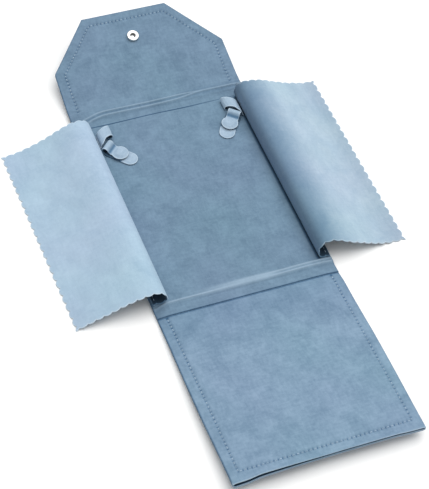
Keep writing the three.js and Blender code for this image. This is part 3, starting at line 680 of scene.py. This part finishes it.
# --- Wings ---------------------------------------------------------------------------------------
# Each wing is a piece of softer, paler microfibre, cut with pinking shears. Its root is sewn flat along the
# side of the middle panel, then the cloth rolls up and back over itself and falls to the table.
wing_thick = 0.8 * mm
on_table = -panel_stack + wing_thick / 2  # height of its middle layer there, from the folder's inner face
table_gap = 0.02 * mm  # the cloth lies this far off the table
wrinkle_height, crinkle_height = 0.5 * mm, 0.22 * mm
root_seam_at, root_seam_lift, root_seam_spare = 62.2 * mm, 0.95 * mm, 3 * mm
drawn_back = {"left": 0, "right": 2.5 * mm}  # how far the near end is, where it goes over the roll's top
fine_count, even_count, mean_width = 1200, 900, 49  # of the places that a smooth line is made from
tooth_pitch, tooth_depth = 6.8 * mm, 1.7 * mm
end_pitch, end_depth = 5.9 * mm, 1.1 * mm  # along the two ends, where the shears were held flatter
points_per_tooth = 8
# where the cloth runs, as (distance from the folder's middle, height above its inner face) in mm, at the
# end near the lower panel and at the end near the flap
wing_lines = {
    "left": (
        [(64.3, 0.6), (60.5, 0.5), (57, 0.6), (54.9, 1.7), (54.1, 4), (54.6, 7), (56.5, 9.9), (59, 12.1),
         (62, 13.2), (66, 13.2), (70, 12.6), (75, 11.6), (82, 9.3), (90, 6.5), (98.4, 3.6), (106.8, 0.8),
         (113.1, -1.4), (117.3, -2.8)],
        [(64.3, 0.6), (61, 0.5), (58, 0.6), (56, 1.9), (55.3, 4), (56.3, 7.6), (58.3, 10.4), (61, 12.4),
         (64, 13.2), (69.5, 13), (74, 11.5), (77.5, 9.9), (81, 8.4), (85, 6.0), (92, 3.0), (100.4, 0.2),
         (108.8, -1.8), (121.6, -2.8)],
    ),
    "right": (
        [(64.3, 0.6), (61, 0.5), (58.3, 0.6), (56.3, 1.9), (55.5, 4.5), (55.5, 8), (56.2, 10.8),
         (58.2, 12.7), (61.5, 13.5), (65.5, 13.3), (70.5, 12.4), (77, 10.1), (85, 6.9), (93, 3.5),
         (100.4, 0.5), (106.8, -1.8), (113.2, -2.7), (121.5, -2.8)],
        [(64.3, 0.6), (61, 0.5), (58.2, 0.6), (56.2, 1.9), (55.3, 4.5), (55.4, 8.4), (56.3, 11.4),
         (58.6, 13.2), (62, 13.8), (66, 13.6), (71, 12.7), (78, 10.4), (86.5, 6.2), (95.6, 2.3),
         (104.5, -0.6), (110.5, -2.4), (115, -2.75), (119.6, -2.8)],
    ),
}
# the ends of root and free edge along the folder, in mm: root low, root high, free low, free high
wing_ends = {"left": (-79.6, 80.9, -81.5, 75.2), "right": (-76.8, 81.0, -77.3, 80.6)}


def even_line(corners):
    """A smooth line through corners in mm, as places evenly spaced along it, and its length: the corners
    are joined by straight runs, these are cut fine, and a running mean rounds them off twice."""
    corners = np.array(corners, float)
    run, width = run_along(corners), mean_width
    line = on_line(np.linspace(0, run[-1], fine_count), run, corners)
    soft = np.concatenate([2 * line[:1] - line[width:0:-1], line, 2 * line[-1:] - line[-2:-width - 2:-1]])
    for _ in range(2):
        soft = np.stack([np.convolve(soft[:, k], np.full(width, 1 / width), "same") for k in (0, 1)], axis=1)
    line = soft[width:-width]
    run = run_along(line)
    return on_line(np.linspace(0, run[-1], even_count), run, line) * mm, run[-1] * mm


def scallop(teeth):
    """The pinked edge: round teeth with sharp notches, the 0.75 power of half a wave for each tooth. A corner
    of the cloth lies on the tip of a tooth."""
    return np.abs(np.cos(math.pi * teeth)) ** 0.75


def rimmed(count, length):
    """Shares from 0 to 1: count even steps, and two more just inside each raw edge."""
    near = np.array([0.12, 0.35]) * mm / length
    return np.unique(np.concatenate([np.linspace(0, 1, count + 1), near, 1 - near]))


def thickened(name, sign, middle, thick, rim, flat, outer, inner):
    """A shell from the grid of its middle layer, which gains half its thickness to both sides along its own
    normal. Its outer face, with the worn pale nap and painted shade of outer, comes first on the right and
    second on the left."""
    normal = np.cross(np.gradient(middle, axis=0), np.gradient(middle, axis=1))
    normal /= np.linalg.norm(normal, axis=2)[..., None]
    half = (thick / 2 * rounded(rim))[..., None] * normal
    worn = (outer, inner) if sign > 0 else (inner, outer)
    return cloth_shell(name, middle + half, middle - half, flat, *worn)


# for each wing: which way its nap leans, how deep a shade is painted round its roll, and its colours. The
# right wing is given paler colours than the left, as painted light, though both are the same cloth
wing_naps_and_shading = {"left": (0.1, 0.0, ("#9AB2C6", "#A8BFD1", "#C6D6E2")),
             "right": (0.8, 0.8, ("#A3BBCE", "#B6CAD9", "#CFDCE6"))}
for side, sign in (("left", -1), ("right", 1)):
    lean, roll_shade, wing_colours = wing_naps_and_shading[side]
    (near_even, near_length), (far_even, far_length) = (even_line(line) for line in wing_lines[side])
    root_low, root_high, free_low, free_high = (v * mm for v in wing_ends[side])
    length = (near_length + far_length) / 2
    teeth_along = round((root_high - root_low) / tooth_pitch)
    teeth_out = round(length / end_pitch)
    out = rimmed(teeth_out * points_per_tooth, length)[:, None]
    along = rimmed(teeth_along * points_per_tooth, root_high - root_low)[None, :]
    low = root_low + (free_low - root_low) * out + end_depth * (1 - scallop(out * teeth_out))
    low = low + drawn_back[side] * bump(out - 0.3, 0.13)
    high = root_high + (free_high - root_high) * out - end_depth * (1 - scallop(out * teeth_out))
    y = low + (high - low) * along
    # the free edge's teeth: the cloth reaches further out at each one
    trim = tooth_depth * (1 - scallop(along * teeth_along)) / length
    reach = out * (1 - trim)
    cut = np.linspace(0, 1, even_count)
    mix = np.clip((y - root_low) / (root_high - root_low), 0, 1)
    place = [np.interp(reach, cut, near_even[:, k]) * (1 - mix) + np.interp(reach, cut, far_even[:, k]) * mix
             for k in (0, 1)]
    # slow wrinkles that run down the slope and die out at the root and on the table
    loose = ease((reach - 0.35) / 0.25) * ease((place[1] - on_table) / (3 * mm))
    z = place[1] + loose * (wrinkle_height * drift(y, reach * length * 0.5, 38 * mm, 31 + sign)
                            + crinkle_height * drift(y, reach * length, 17 * mm, 41 + sign))
    z = np.maximum(z, on_table + table_gap) + panel_stack
    middle = np.stack([sign * place[0], y + 0 * z, z], axis=-1)
    rim = np.minimum(np.minimum(reach, 1 - out) * length, np.minimum(y - low, high - y))
    # painted shade round the right roll, less and less down its slope. The back has a deep painted shade
    # over its first 30 mm from the root, inside the roll, and a faint one further out
    outer = edge_wear(rim) - roll_shade * (1 - ease((place[0] - 58 * mm) / (30 * mm)))
    # painted shadow low on the roll's side that faces the folder's middle, at its foot beside the seam
    outer = outer - 1.5 * (1 - ease((place[1] - 1.2 * mm) / (2.4 * mm))) * (place[0] < 59 * mm)
    inner = edge_wear(rim) - 2 + 1.7 * ease((reach * length - 30 * mm) / (12 * mm))
    wing = thickened(f"{side}_wing", sign, middle, wing_thick, rim, np.stack([y, reach * length], axis=-1),
                     outer, inner)
    wing.data.materials.append(suede(f"brushed_{side}_wing_cloth", *wing_colours,
                                     cloud=22 * mm, nap=0.4 * mm, lean=lean))
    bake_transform(wing)
    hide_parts(f"{side}_wing_root", f"{side}_wing_sheet")
    root_seam = [(sign * root_seam_at, root_low + root_seam_spare),
                 (sign * root_seam_at, root_high - root_seam_spare)]
    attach(stitches(f"{side}_wing_stitches", root_seam, lambda x, s: root_seam_lift,
                     f"{side}_wing_seam_thread"), "middle_panel")

# --- Keepers -------------------------------------------------------------------------------------
# Two keepers of the wings' own cloth, in bands 9 to 12 mm wide, hold the ends of a necklace. A loop stands
# beside each roll. In front of it a band folds back over itself and snaps shut over a small stud.
band_half, band_thick = 5.7 * mm, 0.8 * mm
tab_half, neck_half = 6.0 * mm, 4.6 * mm  # the folded end is cut narrower behind its round tab
loop_back, loop_front, loop_spread = 4.5 * mm, 5.0 * mm, 2.3 * mm  # the loop is wider on its outer leg
# where each band runs, as (distance, height above the folder's inner face) in mm: the loop's distance is from
# its middle, and the other two's from the fold
loop_line = [(-2.2, 0.75), (-4.2, 0.72), (-5.2, 1.3), (-5.35, 2.6), (-4.6, 4.3), (-2.9, 5.5), (-0.8, 5.95),
             (1.0, 5.9), (2.9, 5.4), (4.4, 4.2), (5.0, 2.6), (5.15, 1.4), (5.9, 0.8)]
fold_line = [(0, 0.7), (-1.6, 0.8), (-2.7, 1.9), (-2.9, 3.4), (-2.3, 4.9), (-1.1, 5.65), (0.3, 5.4),
             (1.3, 4.4), (2.2, 3.1), (3.3, 2.35), (4.6, 2.55), (6.0, 3.05), (8, 3.1), (14.9, 3.1)]
leaf_line = [(0, 0.7), (22.4, 0.7)]
snap_at, snap_radius = 9.8 * mm, 3.4 * mm
boss_height, skirt_depth = 0.5 * mm, 0.55 * mm  # over the snap, and round it
# for each side: the loop's middle and how far it runs askew, the fold's place, and in degrees the band's
# heading and how far the lower leaf swings round from it
keeper_places = {
    "left": ((47.6 * mm, 69.6 * mm), 0.45, (48.4 * mm, 57.3 * mm), 226, 0),
    "right": ((49.2 * mm, 71.0 * mm), 0.6, (47.9 * mm, 61.5 * mm), 230, 14),
}


def band(name, sign, line, place, half=None, neck=None):
    """A band of cloth carried along a line of distance and height. place gives the middle's x and y, and
    the direction across, at each station. With a neck its end is a round tab: the outline is the neck's
    straight sides joined to a circle of radius half. Over the snap it is raised by a low boss, and its
    edges sink beside it. Without a half width it is the loop, which spreads to the front as it runs out."""
    fine, length = even_line(line)
    even = np.linspace(0, length, even_count)
    if half is None:
        at = stations(0, length, 0.45 * mm, raw=(0, length))
        wide = loop_front + loop_spread * ease(np.interp(at, even, fine[:, 0]) / (4 * mm))
    else:
        round_part = half * np.sin(np.linspace(-math.pi / 2, math.pi / 2, 30))[1:]
        at = np.concatenate([np.arange(0, length - 2 * half, 0.4 * mm), length - half + round_part])
        beside = np.sqrt(np.maximum(half**2 - (at - length + half) ** 2, (0.2 * mm) ** 2))
        wide = np.where(at < length - half, np.maximum(neck, beside), beside)
    run, height = on_line(at, even, fine).T
    x, y, across_x, across_y = (v[:, None] for v in place(run))
    share = np.sin(np.linspace(-math.pi / 2, math.pi / 2, 23))[None, :]
    front, at = wide[:, None], at[:, None]
    back = front if half is not None else loop_back + 0 * front
    off = share * np.where(share < 0, front, back)
    if half is None:
        rim = np.minimum(np.minimum(front + off, back - off), np.minimum(at, length - at))
    else:
        rim = np.maximum(half - np.hypot(at - length + half, off),
                         np.where(at < length - half, neck - np.abs(off), 0))
    z = height[:, None] + panel_stack + 0 * off
    if name.endswith("tongue"):
        past = np.hypot(run[:, None] - snap_at, off) - snap_radius
        boss = boss_height * (1 - ease((past + 0.5 * mm) / mm)) - skirt_depth * ease(past / (2.2 * mm))
        z = z + boss * ease((run[:, None] - 3 * mm) / (3 * mm))
    middle = np.stack([sign * (x + across_x * off), y + across_y * off, z], axis=-1)
    # painted shade on the cloth's back, inside the loop and the fold; painted shade just past the fold's top,
    # and painted shadow where the leaf lies under the tongue
    inside, outside = edge_wear(rim) - 2.0, edge_wear(rim)
    if name.endswith("tongue"):
        outside = outside - 1.1 * bump(run[:, None] - 2.4 * mm, 1.2 * mm)
    if name.endswith("leaf"):
        outside = np.minimum(outside, -1.6 + 2 * ease((run[:, None] - 11 * mm) / (3 * mm)))
    flat = np.stack([off, at + 0 * off], axis=-1)
    piece = thickened(name, sign, middle, band_thick, rim, flat, outside, inside)
    piece.data.materials.append(band_suede)
    return piece


band_suede = suede("brushed_band_cloth", "#8FA7B9", "#A2B8C8", "#C3D3DF", cloud=9 * mm, nap=0.4 * mm)
for side, sign in (("left", -1), ("right", 1)):
    (loop_x, loop_y), askew, (fold_x, fold_y), heading, swing = keeper_places[side]
    loop = band(f"{side}_keeper_loop_band", sign, loop_line,
                lambda run: (loop_x + run, loop_y - askew * run, 0 * run, 1 + 0 * run))
    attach(loop, "middle_panel")
    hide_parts(f"{side}_keeper_loop")

    def along_band(run, bend=0):
        """Places along the band's heading, which swings round by bend degrees towards its end."""
        turn = np.radians(heading + bend * ease((run - 8 * mm) / (12 * mm)))
        step = np.diff(run, prepend=run[0])
        return (fold_x + run[0] * math.cos(turn[0]) + np.cumsum(step * np.cos(turn)),
                fold_y + run[0] * math.sin(turn[0]) + np.cumsum(step * np.sin(turn)),
                -np.sin(turn), np.cos(turn))

    leaf = band(f"{side}_keeper_lower_leaf", sign, leaf_line,
                lambda run: along_band(run, swing), band_half, band_half)
    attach(leaf, "middle_panel")
    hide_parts(f"{side}_keeper_leaf")

    tongue = band(f"{side}_keeper_folded_tongue", sign, fold_line, along_band, tab_half, neck_half)
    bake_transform(tongue)
    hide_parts(f"{side}_keeper_tongue")

# --- Floor, light and camera ---------------------------------------------------------------------
# A plain white table, a broad soft light high over the folder, and a white room that is darker low down.
# The camera stands where the photograph was taken from, at its lower left.
floor_half = 3.0
floor_mesh = bpy.data.meshes.new("floor")
floor_mesh.from_pydata([(x * floor_half, y * floor_half, 0) for x, y in ((-1, -1), (1, -1), (1, 1), (-1, 1))],
                       [], [(0, 1, 2, 3)])
floor_mesh.materials.append(new_finish("white_table_top", Base_Color=hexes("#F7F7F6")[0], Roughness=0.9)[0])
floor = set_down("floor", floor_mesh)

world = bpy.data.worlds.new("studio")
bpy.context.scene.world = world
world.use_nodes = True
tree = world.node_tree
sky = add_node(tree, "ShaderNodeTexCoord")
height = add_node(tree, "ShaderNodeSeparateXYZ", [("Vector", sky, "Generated")])
glow = add_node(tree, "ShaderNodeMapRange", [("Value", height, "Z")],
                From_Min=-0.1, From_Max=0.8, To_Min=0.3, To_Max=0.75)
tree.links.new(glow.outputs[0], tree.nodes["Background"].inputs["Strength"])
tree.nodes["Background"].inputs["Color"].default_value = hexes("#FFFFFF")[0]
bpy.context.scene.view_settings.view_transform = "Standard"  # shows the colours as they are
key = bpy.data.lights.new("soft_box", "AREA")
key.shape, key.size, key.energy = "DISK", 2.0, 22
lamp_tilt = Matrix.Rotation(math.radians(15), 4, (-0.2, 0.35, 0))
set_down("soft_box", key).matrix_world = Matrix.Translation((0.35, 0.2, 1.5)) @ lamp_tilt

focal_pixels, picture_height, sensor = 1600, 489, 36  # the picture is higher than it is wide
camera_data = bpy.data.cameras.new("camera")
camera_data.sensor_width, camera_data.sensor_fit = sensor, "AUTO"
camera_data.lens = focal_pixels / picture_height * sensor
camera = set_down("camera", camera_data)
bpy.context.scene.camera = camera


def turned_by(vector):
    """The rotation matrix of a rotation vector: its direction is the axis, its length the angle."""
    return np.array(Matrix.Rotation(np.linalg.norm(vector), 3, vector))


# the camera's place and its own axes seen from the folder, solved from the folder's straight edges
stand = (-0.3081, -0.64415, 0.8496)
axes = turned_by(np.array([2.4523, -0.4204, 0.25194])).T @ np.diag([1, -1, -1])
camera.matrix_world = Matrix([[*axes[k], stand[k]] for k in range(3)] + [[0, 0, 0, 1]])
